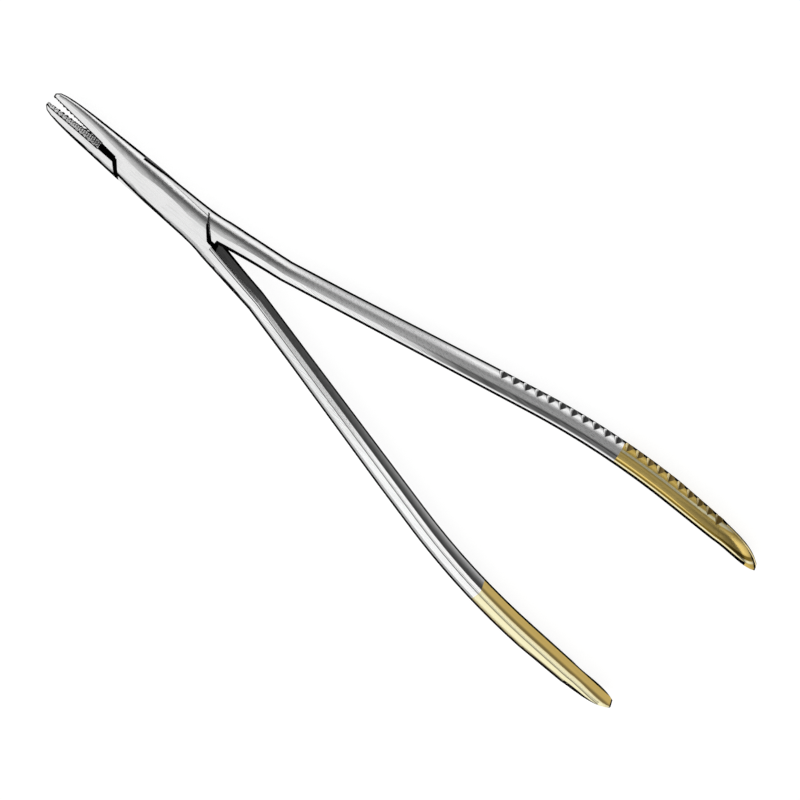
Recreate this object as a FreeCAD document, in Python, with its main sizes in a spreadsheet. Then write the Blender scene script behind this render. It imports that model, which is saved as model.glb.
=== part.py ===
import FreeCAD, Part
import os
import Sketcher
from FreeCAD import Placement, Rotation, Vector

# Surgical needle holder, 180 mm long, with a box lock, carbide jaw inserts and no finger rings.
#
# Frame: millimetres, +X towards the jaws, +Z up, the lower cheek face of the box on Z = 0 and
# the pivot axis on the Z axis. Both halves are drawn closed, about the middle plane Y = 0, and
# each is then turned by half the opening about the pivot.
#
# box_half has the slotted box: its handle is on +Y and its jaw on -Y.
# tongue_half passes through the slot: its handle is on -Y and its jaw on +Y.

SIZES = [
    # Whole instrument
    ("jaw_length", 31.6, "pivot axis to the jaw tips"),
    ("handle_length", 148.4, "pivot axis to the handle ends"),
    ("opening_angle", 3.7, "angle between the halves as they lie"),
    # Box
    ("box_width", 8.05, "across the closed box, behind the pivot"),
    ("box_front_width", 7.7, "across the closed box, ahead of the pivot"),
    ("box_thickness", 6.2, "over the two cheeks"),
    ("side_crown", 2.3, "bulge of the sides of the box and the shanks"),
    ("cheek_ground", 0.06, "ground off each cheek to leave it flat"),
    ("shoulder_reach", 13.3, "pivot axis to the inner end of each shoulder"),
    ("shoulder_slant", 46.0, "shoulders against the long axis, degrees"),
    ("shoulder_gap", 0.15, "between the shoulders, closed"),
    # Tongue, slot and pin
    ("tongue_thickness", 2.1, "middle layer of the tongue half"),
    ("tongue_play", 0.05, "above and below the tongue"),
    ("slot_reach", 12.2, "pivot axis to the end walls of the slot"),
    ("slot_gap", 0.15, "between the tongue and the end walls, closed"),
    ("seam_gap", 0.16, "between the halves along the middle plane, closed"),
    ("pin_diameter", 2.4, "riveted pivot pin"),
    ("pin_play", 0.03, "radial, in the bore of the tongue"),
    # Jaws
    ("nose_length", 2.1, "rounded end of the jaws"),
    ("tip_width", 1.4, "across both closed tips"),
    ("tip_thickness", 0.9, "jaws at the very tip"),
    ("nose_width", 3.87, "across the closed jaws behind the nose"),
    ("nose_thickness", 1.75, "jaws behind the nose"),
    ("jaw_front_width", 5.45, "across the closed jaws, towards the front"),
    ("jaw_front_thickness", 2.7, "jaws, towards the front"),
    ("jaw_rear_width", 6.55, "across the closed jaws, near the box"),
    ("jaw_rear_thickness", 4.3, "jaws, near the box"),
    ("jaw_relief", 0.3, "steel set back from the middle plane behind the inserts"),
    # Carbide inserts
    ("insert_length", 14.2, "from the tips back"),
    ("insert_thickness", 0.45, "of each insert"),
    ("insert_gap", 0.03, "between the serrations, closed"),
    ("serration_pitch", 0.75, "between neighbouring grooves"),
    ("serration_depth", 0.25, "of the grooves"),
    # Shanks and handles
    ("shank_start", 14.6, "pivot axis to where the shanks begin"),
    ("shank_start_width", 9.2, "across both shanks where they begin"),
    ("neck_length", 15.4, "curved stretch, in which the shanks part"),
    ("neck_offset", 1.35, "inner face off the middle plane, halfway along the neck"),
    ("neck_width", 4.1, "of one shank, halfway along the neck"),
    ("neck_depth", 5.8, "height of the shanks along the neck"),
    ("neck_crown", 1.8, "bulge of the outer side of the shanks along the neck"),
    ("shank_offset", 2.4, "inner face off the middle plane at the end of the neck"),
    ("waist_width", 3.9, "of a shank where it is slimmest"),
    ("waist_length", 14.0, "slim stretch behind the neck"),
    ("grip_width", 4.3, "of each handle, seen from above"),
    ("grip_offset", 18.8, "inner face of a handle off the middle plane"),
    ("grip_depth", 7.3, "height of the handles"),
    ("grip_crown", 2.2, "bulge of the outer side of the handles"),
    ("bend_length", 36.0, "stretch in which the spread runs out"),
    ("straight_grip", 24.0, "from the end of the bend to the handle end"),
    ("bevel_width", 0.35, "of the bevels along the inner edges, seen from above"),
    ("bevel_height", 0.9, "of the same bevels, seen from the side"),
    ("point_length", 11.9, "pointed end of the handles"),
    # Finger notches
    ("notch_count", 21, "across the outer side of each handle"),
    ("notch_pitch", 2.78, "from notch to notch"),
    ("notch_width", 2.1, "across the mouth of a notch"),
    ("notch_depth", 0.5, "into the outer side"),
    ("notch_end", 13.2, "last notch to the handle end"),
    ("last_notch_depth", 0.75, "the last notch of the tongue half is cut deeper"),
]

SHEET = "sizes"
doc = FreeCAD.newDocument("needle_holder")


def fill_sheet():
    sheet = doc.addObject("Spreadsheet::Sheet", SHEET)
    for row, (alias, size, note) in enumerate(SIZES, start=1):
        sheet.set("A%d" % row, alias)
        sheet.set("B%d" % row, str(size))
        sheet.set("C%d" % row, note)
        sheet.setAlias("B%d" % row, alias)
    doc.recompute()
    return sheet


sheet = fill_sheet()


def cells(formula):
    """The formula with each size name written as a reference to its cell."""
    words = "".join(c if c.isalnum() or c == "_" else " " for c in formula).split()
    names = set(words) & {alias for alias, size, note in SIZES}
    for name in sorted(names, key=len, reverse=True):
        formula = formula.replace(name, "@%d@" % sorted(names).index(name))
    for index, name in enumerate(sorted(names)):
        formula = formula.replace("@%d@" % index, "%s.%s" % (SHEET, name))
    return formula


def value(formula):
    """The number that a formula in the sizes gives."""
    result = sheet.evalExpression(cells(formula))
    return float(getattr(result, "Value", result))


def plane(body, role):
    return next(item for item in body.Origin.OriginFeatures if item.Role == role)


def new_body(label):
    body = doc.addObject("PartDesign::Body", label)
    body.Label = label
    return body


def new_sketch(body, name, role, height="0", tilt=0.0):
    """A sketch on an origin plane of its body, shifted along the plane's normal."""
    sketch = body.newObject("Sketcher::SketchObject", name)
    sketch.AttachmentSupport = [(plane(body, role), "")]
    sketch.MapMode = "FlatFace"
    sketch.AttachmentOffset = Placement(Vector(0, 0, value(height)), Rotation(Vector(1, 0, 0), tilt))
    sketch.setExpression("AttachmentOffset.Base.z", cells(height))
    return sketch


def pin_point(sketch, curve, end, x, y):
    """Holds one end of a curve at a place given by two formulas."""
    for kind, formula in (("DistanceX", x), ("DistanceY", y)):
        index = sketch.addConstraint(Sketcher.Constraint(kind, -1, 1, curve, end, value(formula)))
        sketch.setExpression("Constraints[%d]" % index, cells(formula))


def hold_radius(sketch, curve, formula):
    index = sketch.addConstraint(Sketcher.Constraint("Radius", curve, value(formula)))
    sketch.setExpression("Constraints[%d]" % index, cells(formula))


def polygons(sketch, outlines):
    """Closed outlines with straight sides, between corners that are given by formulas."""
    sides, holds, formulas = [], [], []
    for corners in outlines:
        points = [Vector(value(x), value(y), 0) for x, y in corners]
        first = len(sides)
        for index, (point, corner) in enumerate(zip(points, corners)):
            side = first + index
            sides.append(Part.LineSegment(point, points[(index + 1) % len(points)]))
            before = side - 1 if index else first + len(points) - 1
            holds.append(Sketcher.Constraint("Coincident", before, 2, side, 1))
            for kind, place, formula in (("DistanceX", point.x, corner[0]), ("DistanceY", point.y, corner[1])):
                formulas.append((len(holds), formula))
                holds.append(Sketcher.Constraint(kind, -1, 1, side, 1, place))
    sketch.addGeometry(sides, False)
    sketch.addConstraint(holds)
    for index, formula in formulas:
        sketch.setExpression("Constraints[%d]" % index, cells(formula))


def side_arc(sketch, edge, top, crown, outwards):
    """The bulging side of a section, through its upper edge, its crown and its lower edge."""
    middle = Vector(edge + outwards * crown, 0, 0)
    arc = Part.Arc(Vector(edge, top, 0), middle, Vector(edge, -top, 0))
    return sketch.addGeometry(arc, False)


def line(sketch, start, end):
    return sketch.addGeometry(Part.LineSegment(Vector(*start, 0), Vector(*end, 0)), False)


def join(sketch, first, first_end, second, second_end):
    sketch.addConstraint(Sketcher.Constraint("Coincident", first, first_end, second, second_end))


def mirror_over(sketch, first, first_end, second, second_end):
    """One point is the other mirrored in the sketch's horizontal axis."""
    sketch.addConstraint(Sketcher.Constraint("Symmetric", first, first_end, second, second_end, -1))


def mirror_aside(sketch, first, first_end, second, second_end):
    """One point is the other mirrored in the sketch's vertical axis."""
    sketch.addConstraint(Sketcher.Constraint("Symmetric", first, first_end, second, second_end, -2))


def crown_radius(depth, crown):
    """Radius of an arc over the whole depth that bulges by the crown."""
    return "(((%s) / 2) ^ 2 + (%s) ^ 2) / (2 * (%s))" % (depth, crown, crown)


def oval_section(body, name, station, width, thickness, crown):
    """Section of both closed halves together: flat above and below, bulging at both sides."""
    sketch = new_sketch(body, name, "YZ_Plane", station)
    top, bulge = value(thickness) / 2, value(crown)
    edge = value(width) / 2 - bulge
    roof = line(sketch, (-edge, top), (edge, top))
    floor = line(sketch, (edge, -top), (-edge, -top))
    right = side_arc(sketch, edge, top, bulge, 1)
    left = side_arc(sketch, -edge, top, bulge, -1)
    join(sketch, roof, 2, right, 2)
    join(sketch, right, 1, floor, 1)
    join(sketch, floor, 2, left, 2)
    join(sketch, left, 1, roof, 1)
    pin_point(sketch, roof, 2, "(%s) / 2 - (%s)" % (width, crown), "(%s) / 2" % thickness)
    mirror_over(sketch, roof, 2, floor, 1)
    mirror_over(sketch, roof, 1, floor, 2)
    mirror_aside(sketch, roof, 2, roof, 1)
    for side in (right, left):
        hold_radius(sketch, side, crown_radius(thickness, crown))
    return sketch


def handle_section(body, name, side, station, inner, width, depth, crown, bevel):
    """Section of one shank: flat inside with bevelled edges, bulging outside.

    The bevel is given as a share of the full one.
    """
    sketch = new_sketch(body, name, "YZ_Plane", station)
    across, down = "bevel_width * (%s)" % bevel, "bevel_height * (%s)" % bevel
    near, top, bend = value(inner), value(depth) / 2, value(depth) / 2 - value(down)
    far = near + value(across)
    edge = near + value(width) - value(crown)
    inside = line(sketch, (side * near, -bend), (side * near, bend))
    top_bevel = line(sketch, (side * near, bend), (side * far, top))
    roof = line(sketch, (side * far, top), (side * edge, top))
    floor = line(sketch, (side * edge, -top), (side * far, -top))
    low_bevel = line(sketch, (side * far, -top), (side * near, -bend))
    outside = side_arc(sketch, side * edge, top, value(crown), side)
    upper, lower = (2, 1) if side > 0 else (1, 2)
    join(sketch, inside, 2, top_bevel, 1)
    join(sketch, top_bevel, 2, roof, 1)
    join(sketch, roof, 2, outside, upper)
    join(sketch, outside, lower, floor, 1)
    join(sketch, floor, 2, low_bevel, 1)
    join(sketch, low_bevel, 2, inside, 1)
    sign = "1" if side > 0 else "-1"
    pin_point(sketch, inside, 2, "%s * (%s)" % (sign, inner), "(%s) / 2 - %s" % (depth, down))
    pin_point(sketch, roof, 1, "%s * (%s + %s)" % (sign, inner, across), "(%s) / 2" % depth)
    outer_edge = "%s * (%s + (%s) - (%s))" % (sign, inner, width, crown)
    pin_point(sketch, roof, 2, outer_edge, "(%s) / 2" % depth)
    mirror_over(sketch, inside, 2, inside, 1)
    mirror_over(sketch, roof, 1, floor, 2)
    mirror_over(sketch, roof, 2, floor, 1)
    hold_radius(sketch, outside, crown_radius(depth, crown))
    return sketch


def loft(body, name, sections, ruled=False):
    feature = body.newObject("PartDesign::AdditiveLoft", name)
    feature.Profile = sections[0]
    feature.Sections = [(section, [""]) for section in sections[1:]]
    feature.Ruled = ruled
    feature.Closed = False
    doc.recompute()
    return feature


def pocket_through(body, name, sketch):
    """A cut through the whole height, both ways from the middle plane."""
    feature = body.newObject("PartDesign::Pocket", name)
    feature.Profile = sketch
    feature.Type = 1
    feature.Midplane = True
    doc.recompute()
    return feature


def pocket_layer(body, name, sketch, thickness):
    """A cut of one thickness, half of it on each side of the sketch."""
    feature = body.newObject("PartDesign::Pocket", name)
    feature.Profile = sketch
    feature.Type = 0
    feature.Midplane = True
    feature.Length = value(thickness)
    feature.setExpression("Length", cells(thickness))
    doc.recompute()
    return feature


def pocket_beyond(body, name, sketch, upwards):
    """A cut from the sketch through everything above it, or below it."""
    feature = body.newObject("PartDesign::Pocket", name)
    feature.Profile = sketch
    feature.Type = 1
    feature.Reversed = upwards
    doc.recompute()
    return feature


def add_bore(body, radius):
    sketch = new_sketch(body, "bore_outline", "XY_Plane")
    circle = sketch.addGeometry(Part.Circle(Vector(0, 0, 0), Vector(0, 0, 1), value(radius)), False)
    join(sketch, circle, 3, -1, 1)
    hold_radius(sketch, circle, radius)
    return pocket_through(body, "bore", sketch)


def grind_cheeks(body):
    """Takes both cheeks down to flat faces."""
    for name, level, upwards in (("upper_cheek", "box_thickness / 2", True),
                                 ("lower_cheek", "-box_thickness / 2", False)):
        sketch = new_sketch(body, name + "_outline", "XY_Plane", level)
        polygons(sketch, [[("shoulder_reach", "-" + WIDE), ("shoulder_reach", WIDE),
                           ("-shoulder_reach", WIDE), ("-shoulder_reach", "-" + WIDE)]])
        pocket_beyond(body, name, sketch, upwards)


NECK_END = "(shank_start + neck_length)"
BEND_END = "(handle_length - straight_grip)"
BEND_START = "(handle_length - straight_grip - bend_length)"
NOTCH_RISE = "0.1"
POINT_WIDTH = "0.88"
SPREAD = "((grip_offset - shank_offset) / (%s - bend_length / 2 - %s))" % (BEND_END, NECK_END)


def handle_line(x):
    """Inner face of a handle off the middle plane, at a distance behind the pivot.

    A straight stretch with the slope SPREAD runs from the neck to the bend. In the bend the
    slope dies out evenly, which makes it a parabola.
    """
    if value(x) <= value(BEND_START):
        return "(shank_offset + %s * (%s - %s))" % (SPREAD, x, NECK_END)
    if value(x) < value(BEND_END):
        return "(grip_offset - %s * (%s - (%s)) ^ 2 / (2 * bend_length))" % (SPREAD, BEND_END, x)
    return "grip_offset"


def outer_line(x):
    """Outermost line of a handle off the middle plane, at a distance behind the pivot."""
    if value(x) <= value(BEND_END):
        return "(%s + grip_width)" % handle_line(x)
    taper = "(1 - %s) * (%s - %s) / (straight_grip - point_length)" % (POINT_WIDTH, x, BEND_END)
    return "(grip_offset + grip_width * (1 - %s))" % taper


def cut_notches(body, side, last_depth):
    """V-shaped notches across the outer side of a handle."""
    sketch = new_sketch(body, "notch_outline", "XY_Plane")
    sign = "1" if side > 0 else "-1"
    outlines = []
    for steps in range(int(value("notch_count"))):
        x = "(handle_length - notch_end - %d * notch_pitch)" % steps
        depth = "notch_depth" if steps else last_depth
        half = "(notch_width / 2 * (1 + %s / %s))" % (NOTCH_RISE, depth)
        bottom = ("-%s" % x, "%s * (%s - %s)" % (sign, outer_line(x), depth))
        mouth = [("-%s" % end, "%s * (%s + %s)" % (sign, outer_line(end), NOTCH_RISE))
                 for end in ("(%s + %s)" % (x, half), "(%s - %s)" % (x, half))]
        outlines.append([mouth[0], bottom, mouth[1]])
    polygons(sketch, outlines)
    return pocket_through(body, "notches", sketch)


GROUND = "(box_thickness + 2 * cheek_ground)"


def add_blank(body):
    """Both halves as one closed piece, from the jaw tips to the start of the shanks."""
    jaw = "(jaw_length - shoulder_reach)"
    stations = [
        ("tip", "jaw_length", "tip_width", "tip_thickness", "tip_thickness * 0.4"),
        ("round", "jaw_length - nose_length * 0.38", "tip_width + (nose_width - tip_width) * 0.65",
         "tip_thickness + (nose_thickness - tip_thickness) * 0.65", "nose_thickness * 0.33"),
        ("nose", "jaw_length - nose_length", "nose_width", "nose_thickness", "nose_thickness * 0.4"),
        ("jaw_front", "jaw_length - %s * 0.415" % jaw, "jaw_front_width", "jaw_front_thickness",
         "jaw_front_thickness * 0.38"),
        ("jaw_rear", "jaw_length - %s * 0.852" % jaw, "jaw_rear_width", "jaw_rear_thickness",
         "jaw_rear_thickness * 0.38"),
        ("box_front", "shoulder_reach * 0.45", "box_front_width", GROUND, "side_crown"),
        ("box_rear", "-shoulder_reach * 0.38", "box_width", GROUND, "side_crown"),
        ("box_end", "-shank_start", "shank_start_width", GROUND, "side_crown"),
    ]
    sections = [oval_section(body, "section_" + name, x, width, thickness, crown)
                for name, x, width, thickness, crown in stations]
    loft(body, "nose", sections[:3], ruled=True)
    return loft(body, "blank", sections[2:])


def shank_profile(x):
    """Width, depth, crown and bevel of a shank between the neck and the end of the bend."""
    share = "((%s - %s) / (%s - %s))" % (x, NECK_END, BEND_END, NECK_END)
    depth = "(neck_depth + (grip_depth - neck_depth) * %s)" % share
    crown = "(neck_crown + (grip_crown - neck_crown) * %s)" % share
    width = "waist_width" if value(x) <= value(NECK_END + " + waist_length") else "grip_width"
    return width, depth, crown, "1"


def add_handle(body, side):
    """Shank and handle, from the box to the pointed end, on one side of the middle plane."""
    def section(name, x, inner, profile):
        return handle_section(body, "section_" + name, side, "-(%s)" % x, inner, *profile)

    def along(name, x):
        return section(name, x, handle_line(x), shank_profile(x))

    def pointed(name, ahead, width, depth, crown, bevel):
        """Near the end, as shares of the full grip: the same depth, but ever narrower."""
        profile = ("grip_width * %s" % width, "grip_depth * %s" % depth, "grip_crown * %s" % crown, bevel)
        return section(name, "(handle_length - %s * point_length)" % ahead, "grip_offset", profile)

    start = section("start", "shank_start", "seam_gap / 2",
                    ("shank_start_width / 2 - seam_gap / 2", GROUND, "side_crown", "0.35"))
    neck = section("neck", "(shank_start + neck_length / 2)", "neck_offset",
                   ("neck_width", "neck_depth", "neck_crown", "0.7"))
    neck_end = along("neck_end", NECK_END)
    waist = along("waist", "(%s + waist_length)" % NECK_END)
    notched = along("notched", "(handle_length - notch_end - notch_count * notch_pitch)")
    bend_start = along("bend_start", BEND_START)
    bend_middle = along("bend_middle", "(%s - bend_length / 2)" % BEND_END)
    bend_end = along("bend_end", BEND_END)
    point = pointed("point", "1", POINT_WIDTH, "0.98", "0.95", "1")
    point_middle = pointed("point_middle", "0.55", "0.72", "0.96", "0.8", "0.9")
    point_rear = pointed("point_rear", "0.2", "0.44", "0.86", "0.5", "0.5")
    end = pointed("end", "0", "0.1", "0.45", "0.1", "0.15")
    loft(body, "neck", [start, neck, neck_end])
    loft(body, "shank", [neck_end, waist, notched, bend_start], ruled=True)
    loft(body, "bend", [bend_start, bend_middle, bend_end])
    loft(body, "grip", [bend_end, point], ruled=True)
    return loft(body, "handle_point", [point, point_middle, point_rear, end])


def rear_cut(inner_end, outer_end):
    """What is taken off behind the box, beside the shank."""
    behind = "-2 * shank_start"
    return [("-(%s)" % inner_end, "seam_gap / 2"), ("-(%s)" % outer_end, "-" + WIDE),
            (behind, "-" + WIDE), (behind, "seam_gap / 2")]


def turned(corners):
    """The same corners turned by half a turn about the pivot axis."""
    return [("-(%s)" % x, "-(%s)" % y) for x, y in corners]


def sided(corners, side):
    """Corners drawn for a piece whose handle is on +Y, mirrored where it is on -Y."""
    return corners if side > 0 else [(x, "-(%s)" % y) for x, y in corners]


SHOULDER_RUN = "tan((90 - shoulder_slant) * 1deg)"
SHOULDER_SHIFT = "shoulder_gap / sin(shoulder_slant * 1deg)"
WIDE = "box_width"
AHEAD = "(jaw_length + 5)"


def jaw_cut(inner_end, outer_end):
    """What is taken off in front of the box, down to the relief and the seat of the insert."""
    start = "jaw_length - insert_length"
    return [
        (inner_end, "-jaw_relief"),
        (start, "-jaw_relief"),
        (start, "-insert_thickness"),
        (AHEAD, "-insert_thickness"),
        (AHEAD, WIDE),
        (outer_end, WIDE),
    ]


def box_half():
    body = new_body("box_half")
    add_blank(body)
    outer = "(shoulder_reach - %s * %s)" % (WIDE, SHOULDER_RUN)
    front = new_sketch(body, "front_outline", "XY_Plane")
    polygons(front, [jaw_cut("shoulder_reach + jaw_relief * %s" % SHOULDER_RUN, outer)])
    pocket_through(body, "front_shoulder", front)
    rear = new_sketch(body, "rear_outline", "XY_Plane")
    polygons(rear, [rear_cut("shoulder_reach", outer)])
    pocket_through(body, "rear_shoulder", rear)
    add_handle(body, 1)
    slot = new_sketch(body, "slot_outline", "XY_Plane")
    half = [("slot_reach - %s * %s" % (WIDE, SHOULDER_RUN), "-%s" % WIDE), ("slot_reach", "0"),
            ("shoulder_reach + 2", "0"), ("shoulder_reach + 2", WIDE)]
    polygons(slot, [half + turned(half)])
    pocket_layer(body, "slot", slot, "tongue_thickness + 2 * tongue_play")
    add_bore(body, "pin_diameter / 2")
    grind_cheeks(body)
    cut_notches(body, 1, "notch_depth")
    return body


def tongue_half():
    body = new_body("tongue_half")
    add_blank(body)
    wall = "(slot_reach - slot_gap)"
    outer = "(%s - %s * %s)" % (wall, WIDE, SHOULDER_RUN)
    front = new_sketch(body, "front_outline", "XY_Plane")
    polygons(front, [sided(jaw_cut("%s + jaw_relief * %s" % (wall, SHOULDER_RUN), outer), -1)])
    pocket_through(body, "front_wall", front)
    rear = new_sketch(body, "rear_outline", "XY_Plane")
    polygons(rear, [sided(rear_cut(wall, outer), -1)])
    pocket_through(body, "rear_wall", rear)
    add_handle(body, -1)
    reach = "(shoulder_reach + %s)" % SHOULDER_SHIFT
    half = [(reach, WIDE), (reach, "0"), ("%s - %s * %s" % (reach, WIDE, SHOULDER_RUN), "-%s" % WIDE)]
    for name, level, upwards in (("over_tongue", "tongue_thickness / 2", True),
                                 ("under_tongue", "-tongue_thickness / 2", False)):
        sketch = new_sketch(body, name + "_outline", "XY_Plane", level)
        polygons(sketch, [sided(half + turned(half), -1)])
        pocket_beyond(body, name, sketch, upwards)
    add_bore(body, "pin_diameter / 2 + pin_play")
    cut_notches(body, -1, "last_notch_depth")
    return body


def jaw_insert(label, side):
    """Carbide plate of one jaw, flush with the steel, with cross-cut serrations."""
    body = new_body(label)
    add_blank(body)
    start = "(jaw_length - insert_length)"
    crown = "insert_gap / 2"
    around = new_sketch(body, "plate_outline", "XY_Plane")
    polygons(around, [sided([
        (start, "-" + WIDE), ("-2 * shank_start", "-" + WIDE), ("-2 * shank_start", WIDE),
        (AHEAD, WIDE), (AHEAD, "-" + crown), (start, "-" + crown)], side)])
    pocket_through(body, "plate", around)
    back = new_sketch(body, "back_outline", "XY_Plane")
    polygons(back, [sided([
        (start + " - 1", "-insert_thickness"), (AHEAD, "-insert_thickness"),
        (AHEAD, "-" + WIDE), (start + " - 1", "-" + WIDE)], side)])
    pocket_through(body, "back", back)
    grooves = []
    for name, tilt in (("rising_groove", -45.0), ("falling_groove", 45.0)):
        sketch = new_sketch(body, name + "_profile", "YZ_Plane", start + " - 1", tilt)
        flank = "(serration_depth + 0.1)"
        away = "-1" if side > 0 else "1"
        root = "%s * (%s + serration_depth)" % (away, crown)
        mouth = "%s * (%s - 0.1)" % (away, crown)
        polygons(sketch, [[(root, "0"), (mouth, flank), (mouth, "-" + flank)]])
        grooves.append(pocket_through(body, name, sketch))
    pattern = body.newObject("PartDesign::LinearPattern", "serration")
    pattern.Originals = grooves
    pattern.Direction = (plane(body, "X_Axis"), [""])
    step = "serration_pitch * sqrt(2)"
    steps = int(value("(insert_length + 1) / (%s)" % step)) + 1
    pattern.Occurrences = steps + 1
    pattern.Length = value("%s * %d" % (step, steps))
    pattern.setExpression("Length", cells("%s * %d" % (step, steps)))
    body.Tip = pattern
    doc.recompute()
    return body


def place(body, turn):
    """Lays the piece with the middle plane at half the box thickness, turned about the pivot."""
    body.Placement = Placement(Vector(0, 0, value("box_thickness / 2")),
                               Rotation(Vector(0, 0, turn), value("opening_angle / 2")))
    body.setExpression("Placement.Base.z", cells("box_thickness / 2"))


def pivot_pin():
    pin = doc.addObject("Part::Cylinder", "pivot_pin")
    pin.Label = "pivot_pin"
    pin.setExpression("Radius", cells("pin_diameter / 2"))
    pin.setExpression("Height", cells("box_thickness"))
    return pin


def check(parts):
    doc.recompute()
    for item in doc.Objects:
        if "Invalid" in item.State or "Error" in item.State:
            raise RuntimeError("%s did not build: %s" % (item.Name, item.State))
    for part in parts:
        if part.Shape.isNull() or not part.Shape.isValid():
            raise RuntimeError("%s has no valid shape" % part.Label)


def main():
    female = box_half()
    male = tongue_half()
    female_insert = jaw_insert("box_jaw_insert", 1)
    male_insert = jaw_insert("tongue_jaw_insert", -1)
    pin = pivot_pin()
    place(female, -1)
    place(female_insert, -1)
    place(male, 1)
    place(male_insert, 1)
    parts = [female, male, female_insert, male_insert, pin]
    check(parts)
    os.makedirs("parts", exist_ok=True)
    for part in parts:
        part.Shape.exportStep("parts/%s.step" % part.Label)
        print(part.Label, "%.2f mm3" % part.Shape.Volume, len(part.Shape.Solids), "solid")


main()
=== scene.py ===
import math

import bpy
import numpy as np
from mathutils import Matrix, Vector


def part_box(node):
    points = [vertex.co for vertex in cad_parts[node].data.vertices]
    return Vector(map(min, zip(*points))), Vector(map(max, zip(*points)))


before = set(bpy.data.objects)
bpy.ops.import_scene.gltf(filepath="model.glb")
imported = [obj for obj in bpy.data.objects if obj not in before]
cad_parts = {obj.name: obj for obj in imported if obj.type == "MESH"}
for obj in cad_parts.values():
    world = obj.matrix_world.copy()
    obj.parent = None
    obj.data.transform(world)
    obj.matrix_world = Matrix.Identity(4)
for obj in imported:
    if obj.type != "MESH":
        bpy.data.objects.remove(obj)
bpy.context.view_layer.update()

# A satin steel needle holder with polished gold handle ends, lying on a plain pale floor.
#
# Frame: metres, +X towards the jaws, +Z up, the pivot of the box lock on the Z axis. Lengths
# inside the materials are in millimetres. The handle of the box half lies on +Y, and the handle
# of the tongue half, which is the upper one in the photograph, on -Y.

MM = 0.001
BOX_SIDE, TONGUE_SIDE = 1, -1

BOX_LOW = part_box("box_half")[0]
PIN_LOW, PIN_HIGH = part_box("pivot_pin")
GRIP_BOTTOM = BOX_LOW[2]
MIDDLE_HEIGHT = (PIN_LOW[2] + PIN_HIGH[2]) / 2

# The halves, as they lie: half of the opening between them, and the inner faces of the handles
# off the middle plane. From the end of the neck they run straight, then bend back to parallel.
HALF_OPENING = math.radians(1.85)
JAW_LENGTH, HANDLE_LENGTH = 31.6, 148.4
NECK_START, NECK_END = 14.4, 30.0
NECK_EASING = (0.0926, -0.001855)
NECK_HALF_DEPTH, GRIP_HALF_DEPTH = 2.9, 3.65
BEND_START, BEND_END = 88.4, 124.4
HANDLE_SLOPE = 0.21466
GRIP_OFFSET, GRIP_WIDTH = 18.8, 4.3
OUTER_RADIUS = 4.13
POINT_TAPER, POINT_TAPER_LENGTH = 0.12, 12.1
BEVEL_HEIGHT = 0.9
NOTCHES_START = 78.0
SHOULDER_REACH, SHOULDER_SLANT = 13.3, math.radians(46.0)


class Value:
    """A number inside a shader, with the usual arithmetic."""

    def __init__(self, tree, socket):
        self.tree = tree
        self.socket = socket

    def math(self, operation, *others):
        operands = enumerate((self,) + others)
        node = add_node(self.tree, "ShaderNodeMath", {"operation": operation}, operands)
        return Value(self.tree, node.outputs[0])

    def __add__(self, other):
        return self.math("ADD", other)

    def __sub__(self, other):
        return self.math("SUBTRACT", other)

    def __mul__(self, other):
        return self.math("MULTIPLY", other)

    def __truediv__(self, other):
        return self.math("DIVIDE", other)

    def __rsub__(self, other):
        return (self * -1).math("ADD", other)

    __radd__ = __add__
    __rmul__ = __mul__

    def size(self):
        return self.math("ABSOLUTE")

    def over(self, limit):
        return self.math("GREATER_THAN", limit)

    def under(self, limit):
        return self.math("LESS_THAN", limit)

    def at_least(self, limit):
        return self.math("MAXIMUM", limit)

    def at_most(self, limit):
        return self.math("MINIMUM", limit)

    def between(self, start, full, last, end):
        """1 from full to last, fading to 0 at start and at end."""
        return self.ramp(start, full) * self.ramp(end, last)

    def ramp(self, start, end):
        """0 at start, 1 at end, smooth between them."""
        node = add_node(self.tree, "ShaderNodeMapRange", {"interpolation_type": "SMOOTHSTEP"},
                        {"Value": self, "From Min": start, "From Max": end})
        return Value(self.tree, node.outputs["Result"])


def connect(tree, item, target):
    """Puts a shader value, a socket or a plain number on an input."""
    if isinstance(item, Value):
        tree.links.new(item.socket, target)
    elif isinstance(item, bpy.types.NodeSocket):
        tree.links.new(item, target)
    else:
        target.default_value = item


def add_node(tree, kind, settings=(), sockets=()):
    """A new node, with its settings and what goes on its inputs, which are given by name or number."""
    node = tree.nodes.new(kind)
    for key, setting in dict(settings).items():
        setattr(node, key, setting)
    for key, item in dict(sockets).items():
        connect(tree, item, node.inputs[key])
    return node


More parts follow.
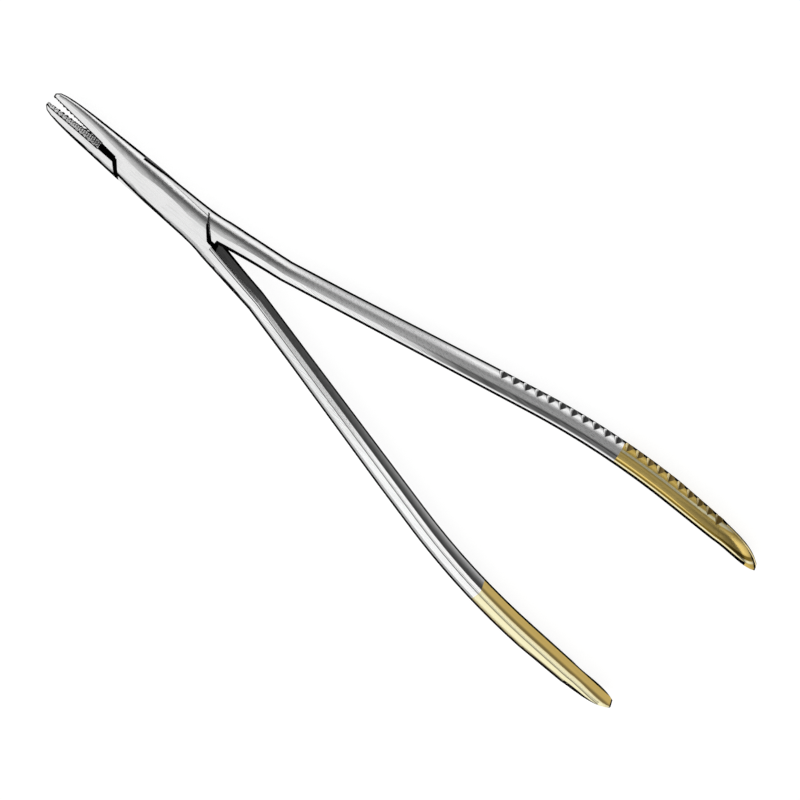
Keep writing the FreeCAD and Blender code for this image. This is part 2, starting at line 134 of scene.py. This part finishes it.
class Shader:
    """A material's node tree with one principled surface."""

    def __init__(self, name):
        self.material = bpy.data.materials.new(name)
        self.material.use_nodes = True
        self.tree = self.material.node_tree
        self.surface = self.tree.nodes["Principled BSDF"]

    def node(self, kind, **inputs):
        sockets = {key.replace("_", " "): item for key, item in inputs.items()}
        return add_node(self.tree, kind, sockets=sockets)

    def coordinates(self, output):
        """The three parts of an output of the texture coordinates, as values."""
        source = self.node("ShaderNodeTexCoord").outputs[output]
        parts = self.node("ShaderNodeSeparateXYZ", Vector=source).outputs
        return [Value(self.tree, part) for part in parts]

    def place(self):
        """Object coordinates in millimetres."""
        return [part * (1 / MM) for part in self.coordinates("Object")]

    def vector(self, x, y, z):
        return self.node("ShaderNodeCombineXYZ", X=x, Y=y, Z=z).outputs[0]

    def noise(self, vector, scale, detail):
        node = self.node("ShaderNodeTexNoise", Vector=vector, Scale=scale, Detail=detail)
        return Value(self.tree, node.outputs[0])

    def drawn_out(self, place, along, across, scale, detail):
        """Noise that is drawn out along the instrument, as its grain and its streaks are."""
        x, y, z = place
        return self.noise(self.vector(x * along, y * across, z * across), scale, detail)

    def mix(self, share, first, second):
        """A colour between two colours, which go on inputs 6 and 7 of the node."""
        node = add_node(self.tree, "ShaderNodeMix", {"data_type": "RGBA"},
                        {0: share, 6: first, 7: second})
        return node.outputs[2]

    def edge_on(self):
        """0 where a face looks at the viewer, 1 where it is seen edge on."""
        return Value(self.tree, self.node("ShaderNodeLayerWeight", Blend=0.5).outputs["Facing"])

    def bump(self, height, distance, strength):
        node = self.node("ShaderNodeBump", Height=height, Distance=distance, Strength=strength)
        return node.outputs["Normal"]

    def finish(self, **inputs):
        for key, item in inputs.items():
            connect(self.tree, item, self.surface.inputs[key.replace("_", " ")])
        return self.material


def grey(tone):
    return (tone, tone, tone, 1.0)


def when_closed(x, y, side):
    """How far a point lies behind the pivot and off the middle plane, in the closed instrument.

    Each half is turned back by half the opening.
    """
    cos, sin = math.cos(HALF_OPENING), side * math.sin(HALF_OPENING)
    return y * sin - x * cos, x * sin + y * cos


def inner_face_offset(behind):
    """The inner face of a handle: a straight line, a parabola along the bend, then parallel."""
    left = (BEND_END - behind).at_least(0).at_most(BEND_END - BEND_START)
    bend = left * left / (2 * (BEND_END - BEND_START))
    straight = (BEND_START - behind).at_least(0)
    ahead = (NECK_END - behind).at_least(0)
    neck = ahead * NECK_EASING[0] + ahead * ahead * NECK_EASING[1]
    return GRIP_OFFSET - (bend + straight) * HANDLE_SLOPE + neck


def off_shoulders(behind, aside):
    """How far a point lies outside the two slanted shoulders of the box lock."""
    along = (behind - aside / math.tan(SHOULDER_SLANT)).size() - SHOULDER_REACH
    return along * math.sin(SHOULDER_SLANT)


def handle_depth(behind):
    """Half the height of a handle: it grows evenly from the neck to the end of the bend."""
    share = ((behind - NECK_END) / (BEND_END - NECK_END)).at_least(0).at_most(1)
    return share * (GRIP_HALF_DEPTH - NECK_HALF_DEPTH) + NECK_HALF_DEPTH


def notch_depth(outside, behind, height):
    """How far a point lies below the round outer side of its handle."""
    taper = ((behind - BEND_END) / POINT_TAPER_LENGTH).at_least(0) * POINT_TAPER
    round_side = (OUTER_RADIUS ** 2 - height * height).at_least(0).math("SQRT") - OUTER_RADIUS
    return (1 - taper) * GRIP_WIDTH + round_side - outside


# The satin grain and the broader streaks: their scale along and across the instrument, then the
# scale and the detail of the noise.
GRAIN = (0.05, 2.4, 3.0, 4.0)
STREAKS = (0.09, 1.3, 2.0, 3.0)
GRAIN_HEIGHT = 0.02 * MM

# Gold begins square across the handles at this distance behind the pivot.
GOLD_START = 110.5
GOLD_SLOPE = math.radians(6.6)
# The dark gold is painted shade, the warm gold a painted reflection and the pale gold a painted
# highlight.
GOLD_PAINTED_SHADE = (0.16, 0.10, 0.008, 1)
GOLD_DEEP = (0.64, 0.45, 0.11, 1)
GOLD_PAINTED_REFLECTION = (0.95, 0.70, 0.22, 1)
GOLD_PAINTED_HIGHLIGHT = (1.0, 0.93, 0.60, 1)
INNER_GOLD = (0.66, 0.46, 0.10, 1)
# The notch golds: one wall painted as lit and one painted as shaded.
NOTCH_GOLD_LIT = (0.90, 0.72, 0.30, 1)
NOTCH_GOLD_SHADED = (0.22, 0.13, 0.01, 1)

# Where each half has its stripes of painted highlight, painted dark reflection and painted warm
# reflection on the gold, by the distance outside the inner face: the stripe starts, is full, is
# full to here, and ends.
PAINTED_HIGHLIGHT_STRIPES = {BOX_SIDE: [(-0.2, 0.2, 2.2, 3.2)],
                TONGUE_SIDE: [(0.9, 1.05, 1.2, 1.35), (3.3, 3.45, 3.6, 3.75)]}
PAINTED_DARK_REFLECTION_STRIPE = {BOX_SIDE: (2.5, 3.4, 6.0, 6.5), TONGUE_SIDE: (1.25, 1.4, 1.7, 1.85)}
PAINTED_REFLECTION_STRIPE = (1.6, 2.1, 3.0, 3.35)

# Bands along the upper handle in the same way: a painted dark reflection on the flat, and dull
# steel beside it. Both fade in along the handle.
PAINTED_DARK_REFLECTION_BAND = (1.05, 1.5, 2.25, 2.75)
DULL_BAND = (2.6, 3.1, 3.8, 4.1)
BANDS_FADE_IN = (52.0, 74.0)

# Bright steel, and what the cheeks of the box and the streaks take off it.
STEEL_TONE, CHEEK_GREYER, STREAKS_GREYER = 0.95, 0.14, 0.10
CHEEK_FADES_IN = (-34.0, -12.0)

# The inner faces are in painted shade, paler towards these heights and towards the handle ends.
INNER_STEEL_PAINTED_SHADE, INNER_STEEL_PALE = grey(0.02), grey(0.60)
INNER_STEEL_HEIGHTS, INNER_GOLD_HEIGHTS = (2.0, -2.6), (1.9, 0.6)
INNER_FACE_FADES_IN = (30.0, 100.0)

# Steel is duller here behind the neck: it starts, is full, is full to here, and ends.
DULL_STRETCH = (26.0, 40.0, 56.0, 74.0)
MOST_DULL = 0.85

# The notches, from this depth on, and the painted shade down their paler walls. Their walls are
# painted as one lit and one shaded wall.
NOTCH_LEAST_DEPTH = 0.09
NOTCH_PAINTED_SHADING = (0.15, 0.4)
NOTCH_STEEL_LIT, NOTCH_STEEL_DEEP_SHADE, NOTCH_STEEL_SHADED = grey(0.8), grey(0.10), grey(0.06)

# Lines of painted shade along the flats: both distances outside the inner face, and how black.
FLAT_SHADE_LINES = {BOX_SIDE: [(-1, 0.46, 0.5), (0.6, 0.84, 0.85)], TONGUE_SIDE: [(-1, 0.92, 1)]}

# How level a face is, from 0 for an upright wall to 1 for a flat, and how far it faces outwards,
# from -1 for an inner face to 1 for an outer one.
FLAT = 0.97
NEARLY_FLAT = 0.8
ROUND_SIDE = 0.93
UPRIGHT = 0.2
NOTCH_WALL, LOCK_WALL = 0.08, 0.1
TURNED_INWARDS, INNER_FACE = -0.6, -0.85
TURNED_OUTWARDS = 0.5

# Painted black rim along the round sides, painted shade for their dark edge, begins where a face
# is seen this much edge on, and earlier along the handles' front ends and the jaws. RIM_SHADE is
# the softer painted shade beside it.
RIM_START, RIM_FADE = 0.53, 0.06
RIM_SHADE = (0.26, 0.62)
HANDLE_FRONT, HANDLE_FRONT_EARLIER = (-70.0, -20.0), 0.07
JAWS, JAWS_EARLIER = (2.0, 30.0), 0.19

# Widths of other lines and marks of painted shade.
FOOT_SHADE_LINE = 0.75
HANDLE_END_MARK, JAW_TIP_MARK = 0.35, 0.25
SHOULDER_SHADE_LINE = 0.25

# The walls of the lock, and of the crotch where the handles part, which are painted black as
# shade: how far they reach off the middle plane and behind the pivot.
LOCK_HALF_WIDTH, CROTCH_HALF_WIDTH = 3.3, 3.0
CROTCH_START, CROTCH_END = 13.4, 15.8

# The black of the painted shade.
PAINTED_SHADE_BLACK = grey(0.003)


class Half(Shader):
    """The shader of one half of the instrument, with the places that its finish goes by.

    behind and aside are the distances behind the pivot and off the middle plane in the closed
    instrument, outside is the distance outside the handle's inner face, and height is the
    height over the middle of the instrument.
    """

    def __init__(self, name, side):
        super().__init__(name)
        self.side = side
        place = self.place()
        self.x, self.y, z = place
        self.facing_x, facing_y, facing_z = self.coordinates("Normal")
        self.outwards = facing_y * side
        self.level = facing_z.size()
        self.height = z - MIDDLE_HEIGHT / MM
        self.behind, self.aside = when_closed(self.x, self.y, side)
        self.outside = self.aside * side - inner_face_offset(self.behind)
        self.on_handle = self.behind.over(NECK_START)
        self.grain = self.drawn_out(place, *GRAIN)
        self.streaks = self.drawn_out(place, *STREAKS)
        gold_behind = self.x * -math.cos(GOLD_SLOPE) + self.y * (side * math.sin(GOLD_SLOPE))
        self.gold = gold_behind.over(GOLD_START)


def painted_rims(half):
    """Painted shade and painted black on the round sides, both more so where they are seen edge on."""
    turned_out = (half.outwards.over(TURNED_INWARDS) + 1 - half.on_handle).at_most(1)
    round_side = half.level.under(ROUND_SIDE) * turned_out
    start = (RIM_START - half.x.ramp(*HANDLE_FRONT) * HANDLE_FRONT_EARLIER
             - half.x.ramp(*JAWS) * JAWS_EARLIER)
    edge_on = half.edge_on()
    # painted shade on the round sides, deeper towards where they are seen edge on
    shade = edge_on.ramp(*RIM_SHADE) * round_side * 0.6
    # painted black where the round sides are seen most edge on
    black = ((edge_on - start) / RIM_FADE).at_least(0).at_most(1) * round_side
    return shade, black


def satin_steel(half, shade):
    """Bright steel, greyer on the cheeks of the box and in streaks, with painted rim shade and a
    painted dark reflection band on the upper handle.
    """
    cheek = half.x.ramp(*CHEEK_FADES_IN) * half.level.ramp(0.85, FLAT)
    streak = half.streaks.ramp(0.45, 0.75)
    tone = (STEEL_TONE - cheek * CHEEK_GREYER - streak * STREAKS_GREYER) * (1 - shade)
    if half.side == TONGUE_SIDE:
        # a band of painted dark reflection along the flat of the upper handle
        band = half.outside.between(*PAINTED_DARK_REFLECTION_BAND) * half.behind.ramp(*BANDS_FADE_IN)
        tone = tone * (1 - band * (half.streaks * 0.25 + 0.75))
    return half.vector(tone, tone, tone)


def polished_gold(half, shade):
    """Gold plating, with the stripes of painted highlight and painted dark reflection that run along
    each handle end, a painted warm reflection on the upper one, and painted rim shade.
    """
    # stripes of painted highlight, with a little random tone from the streaks
    pale = sum(half.outside.between(*stripe) for stripe in PAINTED_HIGHLIGHT_STRIPES[half.side])
    pale = (pale + half.streaks.ramp(0.5, 0.8) * 0.2).at_most(1)
    tones = half.mix(pale, GOLD_DEEP, GOLD_PAINTED_HIGHLIGHT)
    if half.side == TONGUE_SIDE:
        # a stripe of painted warm reflection
        tones = half.mix(half.outside.between(*PAINTED_REFLECTION_STRIPE), tones, GOLD_PAINTED_REFLECTION)
    # a stripe of painted dark reflection, then the painted rim shade over the gold
    dark = half.outside.between(*PAINTED_DARK_REFLECTION_STRIPE[half.side])
    return half.mix(shade, half.mix(dark * 0.9, tones, GOLD_PAINTED_SHADE), GOLD_PAINTED_SHADE)


def inner_face(half):
    """The inner face of the handle, left dull and in painted shade, paler towards the bottom.

    Returns where it is, its colour and how much painted black it has.
    """
    face = half.outwards.under(INNER_FACE) * half.level.under(UPRIGHT) * half.on_handle
    # painted shade, paler towards the bottom and the handle end
    paler = half.height.ramp(*INNER_STEEL_HEIGHTS) * half.behind.ramp(*INNER_FACE_FADES_IN)
    paler = paler * 0.8 + half.streaks * 0.25
    steel = half.mix(paler, INNER_STEEL_PAINTED_SHADE, INNER_STEEL_PALE)
    paler_gold = (half.height.ramp(*INNER_GOLD_HEIGHTS) * 0.85 + half.streaks * 0.2).at_most(1)
    gold = half.mix(paler_gold, GOLD_PAINTED_SHADE, INNER_GOLD)
    # painted black shade on the darker parts of the steel inner face
    black = face * (1 - paler.at_most(1)) * (1 - half.gold) * 0.6
    return face, half.mix(half.gold, steel, gold), black


def painted_shade_lines(half):
    """Lines and marks of painted shade along the flats and the foot of the inner face, on the tips and
    on the shoulders.
    """
    flat = half.level.over(FLAT) * half.on_handle
    flat_shade_lines = sum(flat * half.outside.over(near) * half.outside.under(far) * weight
                     for near, far, weight in FLAT_SHADE_LINES[half.side])
    foot = (half.height + handle_depth(half.behind) - BEVEL_HEIGHT).under(FOOT_SHADE_LINE)
    foot_shade_line = half.outwards.under(TURNED_INWARDS) * foot * half.on_handle
    handle_end = half.behind.over(HANDLE_LENGTH - HANDLE_END_MARK)
    jaw_tip = half.behind.under(JAW_TIP_MARK - JAW_LENGTH)
    shoulder = off_shoulders(half.behind, half.aside).size().under(SHOULDER_SHADE_LINE)
    own_shoulders = shoulder * (half.behind * half.aside).under(0) * half.level.over(NEARLY_FLAT)
    return flat_shade_lines + foot_shade_line + handle_end + jaw_tip + own_shoulders


def notch_walls(half):
    """Each notch has one wall painted in shade, towards the handle end, and one paler wall painted as
    lit, with painted shade deeper down it.

    Returns where the notches are, their colour and how much painted black they have.
    """
    deep = notch_depth(half.outside, half.behind, half.height)
    outer_wall = half.outwards.over(TURNED_OUTWARDS) * half.level.under(NOTCH_WALL)
    notch = deep.over(NOTCH_LEAST_DEPTH) * outer_wall * half.behind.over(NOTCHES_START)
    # the wall towards the handle end is painted in shade, the other painted as lit and darker deeper
    # down
    shaded_wall = half.facing_x.over(0)
    lit_wall = half.mix(deep.ramp(*NOTCH_PAINTED_SHADING), NOTCH_STEEL_LIT, NOTCH_STEEL_DEEP_SHADE)
    steel = half.mix(shaded_wall, lit_wall, NOTCH_STEEL_SHADED)
    gold = half.mix(shaded_wall, NOTCH_GOLD_LIT, NOTCH_GOLD_SHADED)
    # painted black shade on the shaded wall
    black = notch * shaded_wall * (0.5 - half.gold * 0.3)
    return notch, half.mix(half.gold, steel, gold), black


def lock_painted_shade(half):
    """Where the walls are painted black as shade, inside the lock, behind the inserts and in the
    crotch.
    """
    off_middle = half.y.size()
    ahead = half.behind.under(CROTCH_END)
    lock = off_middle.under(LOCK_HALF_WIDTH) * ahead * half.level.under(LOCK_WALL)
    crotch = off_middle.under(CROTCH_HALF_WIDTH) * half.behind.over(CROTCH_START) * ahead
    return lock + crotch * half.level.under(NEARLY_FLAT)


def dullness(half, face):
    """Steel is duller behind the neck and in the upper handle's dull band, and gold a little."""
    dull = half.behind.between(*DULL_STRETCH) * 0.5 * (1 - face) + half.gold * 0.25
    if half.side == TONGUE_SIDE:
        dull = dull + half.outside.between(*DULL_BAND) * half.behind.ramp(*BANDS_FADE_IN) * 0.5
    return dull.at_most(MOST_DULL)


def instrument_steel(name, side):
    """Satin steel with a fine lengthwise grain, and polished gold plating on the handle end.

    Its colour has painted light and shade in it: painted black and painted shade along the round
    sides, the edges, the inner faces, the notches and the walls of the lock, a painted dark
    reflection on the upper handle, and stripes of painted highlight and reflection on the gold.
    The painted black parts are neither metallic nor glossy, because a black metal still shines edge on.
    """
    half = Half(name, side)
    # painted shade and painted black along the round sides
    shade, black = painted_rims(half)
    colour = half.mix(half.gold, satin_steel(half, shade), polished_gold(half, shade))
    face, face_colour, face_painted_black = inner_face(half)
    colour = half.mix(face, colour, face_colour)
    notch, notch_colour, notch_painted_black = notch_walls(half)
    colour = half.mix(notch, colour, notch_colour)
    # All of the black is painted shade: the rim, the inner faces, the lines, the notch walls and the
    # lock walls.
    black = (black + face_painted_black + painted_shade_lines(half)) * (1 - notch) + notch_painted_black
    black = (black + lock_painted_shade(half)).at_most(1)
    return half.finish(
        Base_Color=half.mix(black, colour, PAINTED_SHADE_BLACK),
        Metallic=(1 - dullness(half, face)) * (1 - black),
        Roughness=half.grain * 0.08 + 0.24 - half.gold * 0.1 + face * 0.12,
        Specular_IOR_Level=0.0,
        Normal=half.bump(half.grain, GRAIN_HEIGHT, 0.04),
    )


# The fine cuts across the carbide plates, drawn as painted shade, and the depth of a plate: it
# falls evenly to nothing at a point ahead of the jaws. The cuts fade in and out over these shares
# of that depth, and the plate is painted black as shade below the last share.
CROSS_CUT_PITCH = 0.55
PLATE_POINT, PLATE_TAPER = 38.8, 0.094
CUTS_FADE = (-0.6, -0.2, 0.2, 0.6)
PLATE_SHADED_FOOT = -0.55


def carbide(name):
    """Sintered carbide with a row of fine cuts across it drawn as painted shade, and painted black
    shade along the edges of the plate.

    The cuts are the waves of a sine along X, and they fill the middle of the plate's depth.
    """
    shader = Shader(name)
    x, y, z = shader.place()
    facing_z = shader.coordinates("Normal")[2]
    speckle = shader.noise(shader.vector(x, y, z), 6.0, 3.0)
    share = (z - MIDDLE_HEIGHT / MM) / ((PLATE_POINT - x) * PLATE_TAPER)
    # the cuts are painted shade
    cut = (x * (math.pi / CROSS_CUT_PITCH)).math("SINE").size().ramp(0.75, 0.35)
    cut = (cut * share.between(*CUTS_FADE) * 0.9 + speckle * 0.15).at_most(1)
    # painted black shade below the plate's last share and on its level faces along the edges
    black = (share.under(PLATE_SHADED_FOOT) + facing_z.size().over(NEARLY_FLAT)).at_most(1)
    return shader.finish(
        Base_Color=shader.mix(black, shader.mix(cut, grey(0.95), grey(0.03)), grey(0.01)),
        Metallic=1 - black * 0.9,
        Roughness=speckle * 0.15 + 0.3,
        Specular_IOR_Level=0.0,
    )


def pin_finish():
    """The riveted pin, ground flush with the cheeks and finished with them."""
    shader = Shader("pin_finish")
    grain = shader.drawn_out(shader.place(), *GRAIN)
    return shader.finish(
        Base_Color=shader.mix(grain, grey(0.79), grey(0.81)),
        Metallic=1.0,
        Roughness=grain * 0.06 + 0.17,
        Normal=shader.bump(grain, GRAIN_HEIGHT, 0.12),
    )


def dress():
    """Gives each piece of the instrument its finish."""
    finishes = {
        "box_half": instrument_steel("box_half_finish", BOX_SIDE),
        "tongue_half": instrument_steel("tongue_half_finish", TONGUE_SIDE),
        "box_jaw_insert": carbide("box_insert_finish"),
        "tongue_jaw_insert": carbide("tongue_insert_finish"),
        "pivot_pin": pin_finish(),
    }
    for name, material in finishes.items():
        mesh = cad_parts[name].data
        for index in range(len(mesh.materials)):
            mesh.materials[index] = material


def staged_mesh(name, vertices, faces, material):
    mesh = bpy.data.meshes.new(name)
    mesh.from_pydata(vertices, [], faces)
    mesh.materials.append(material)
    piece = bpy.data.objects.new(name, mesh)
    bpy.context.scene.collection.objects.link(piece)
    return piece


def seen_by_viewer(tree):
    """1 for what the camera sees, also in reflections and through glass, and 0 for what only lights."""
    paths = add_node(tree, "ShaderNodeLightPath").outputs
    camera_ray, glossy_ray, transmission_ray = [
        Value(tree, paths[kind]) for kind in ("Is Camera Ray", "Is Glossy Ray", "Is Transmission Ray")]
    return (camera_ray + glossy_ray + transmission_ray).at_most(1)


# The floor and the light tent reach this far to each side of the pivot. The floor lies a hair
# below the handles.
STAGE_REACH = 3.0
FLOOR_GAP = 0.1 * MM
FLOOR_COLOUR = 0.24
FLOOR_WHITE = 0.88


def floor():
    """A plain pale floor just under the handles.

    It is white to the camera and in reflections, and its own colour takes the shadow.
    """
    shader = Shader("floor_finish")
    white = seen_by_viewer(shader.tree) * FLOOR_WHITE
    material = shader.finish(
        Base_Color=grey(FLOOR_COLOUR),
        Roughness=0.9,
        Specular_IOR_Level=0.0,
        Emission_Strength=1.0,
        Emission_Color=shader.vector(white, white, white),
    )
    signs = [(-1, -1), (1, -1), (1, 1), (-1, 1)]
    corners = [(x * STAGE_REACH, y * STAGE_REACH, GRIP_BOTTOM - FLOOR_GAP) for x, y in signs]
    return staged_mesh("floor", corners, [(0, 1, 2, 3)], material)


# Brightness of the light tent by angle from straight overhead, in degrees: negative on the
# side of the upper handle. It is dark just above the floor on that side.
TENT_LIGHT = [
    (-90, 0.07), (-64, 0.07), (-48, 0.24), (-34, 0.46), (-20, 0.70), (0, 0.92),
    (25, 1.0), (66, 1.1), (80, 0.5), (90, 0.45),
]
TENT_RADIUS = 2.5
TENT_STEPS = 90


def light_tent():
    """A half round tent along the instrument, whose light changes from side to side.

    The cross section is an arc, each point at TENT_RADIUS from the middle, and its angle from
    overhead gives the brightness. The camera doesn't see it.
    """
    shader = Shader("tent_light")
    shader.tree.nodes.remove(shader.surface)
    y, z = shader.coordinates("Object")[1:]
    angle = y.math("ARCTAN2", z) * (180 / math.pi)
    strength = TENT_LIGHT[0][1]
    for (start, dimmer), (end, brighter) in zip(TENT_LIGHT, TENT_LIGHT[1:]):
        share = ((angle - start) / (end - start)).at_least(0).at_most(1)
        strength = strength + share * (brighter - dimmer)
    glow = shader.node("ShaderNodeEmission", Strength=strength)
    connect(shader.tree, glow.outputs[0], shader.tree.nodes["Material Output"].inputs["Surface"])
    turns = np.radians(np.linspace(-90, 90, TENT_STEPS + 1))
    rim = np.stack([np.zeros_like(turns), np.sin(turns), np.cos(turns)], axis=1) * TENT_RADIUS
    rim[:, 2] += GRIP_BOTTOM
    vertices = np.concatenate([rim - [STAGE_REACH, 0, 0], rim + [STAGE_REACH, 0, 0]])
    near = np.arange(TENT_STEPS)
    far = near + len(turns)
    faces = np.stack([near, near + 1, far + 1, far], axis=1)
    tent = staged_mesh("light_tent", vertices.tolist(), faces.tolist(), shader.material)
    tent.visible_camera = False
    return tent


# Strength of the world as a light.
WORLD_LIGHT = 0.6


def surroundings():
    """White to the camera and in reflections, and a plain pale light otherwise."""
    world = bpy.data.worlds.new("surroundings")
    bpy.context.scene.world = world
    world.use_nodes = True
    tree = world.node_tree
    background = tree.nodes["Background"]
    connect(tree, grey(1.0), background.inputs["Color"])
    connect(tree, seen_by_viewer(tree) * (1 - WORLD_LIGHT) + WORLD_LIGHT, background.inputs["Strength"])


# The photograph is taken from high above, turned so that the jaws point to the upper left.
CAMERA_AZIMUTH = math.radians(-69.574)
CAMERA_ELEVATION = math.radians(63.0)
CAMERA_ROLL = math.radians(-158.0)
CAMERA_DISTANCE = 1192 * MM
CAMERA_LENS = 250.5
CAMERA_SENSOR = 36.0
CAMERA_REACH = (0.05, 20.0)
CAMERA_TARGET = Vector((-67.1 * MM, 0.78 * MM, MIDDLE_HEIGHT))


def camera():
    data = bpy.data.cameras.new("camera")
    data.lens = CAMERA_LENS
    data.sensor_width = CAMERA_SENSOR
    data.clip_start, data.clip_end = CAMERA_REACH
    view = bpy.data.objects.new("camera", data)
    bpy.context.scene.collection.objects.link(view)
    away = Vector((math.cos(CAMERA_AZIMUTH) * math.cos(CAMERA_ELEVATION),
                   math.sin(CAMERA_AZIMUTH) * math.cos(CAMERA_ELEVATION),
                   math.sin(CAMERA_ELEVATION)))
    level = Vector((0, 0, 1)).cross(away).normalized()
    upright = away.cross(level)
    turn = Matrix.Rotation(CAMERA_ROLL, 3, "Z")
    axes = Matrix((level, upright, away)).transposed() @ turn
    view.matrix_world = Matrix.Translation(CAMERA_TARGET + away * CAMERA_DISTANCE) @ axes.to_4x4()
    bpy.context.scene.camera = view


dress()
floor()
light_tent()
surroundings()
camera()

bpy.context.scene.view_settings.view_transform = "Standard"
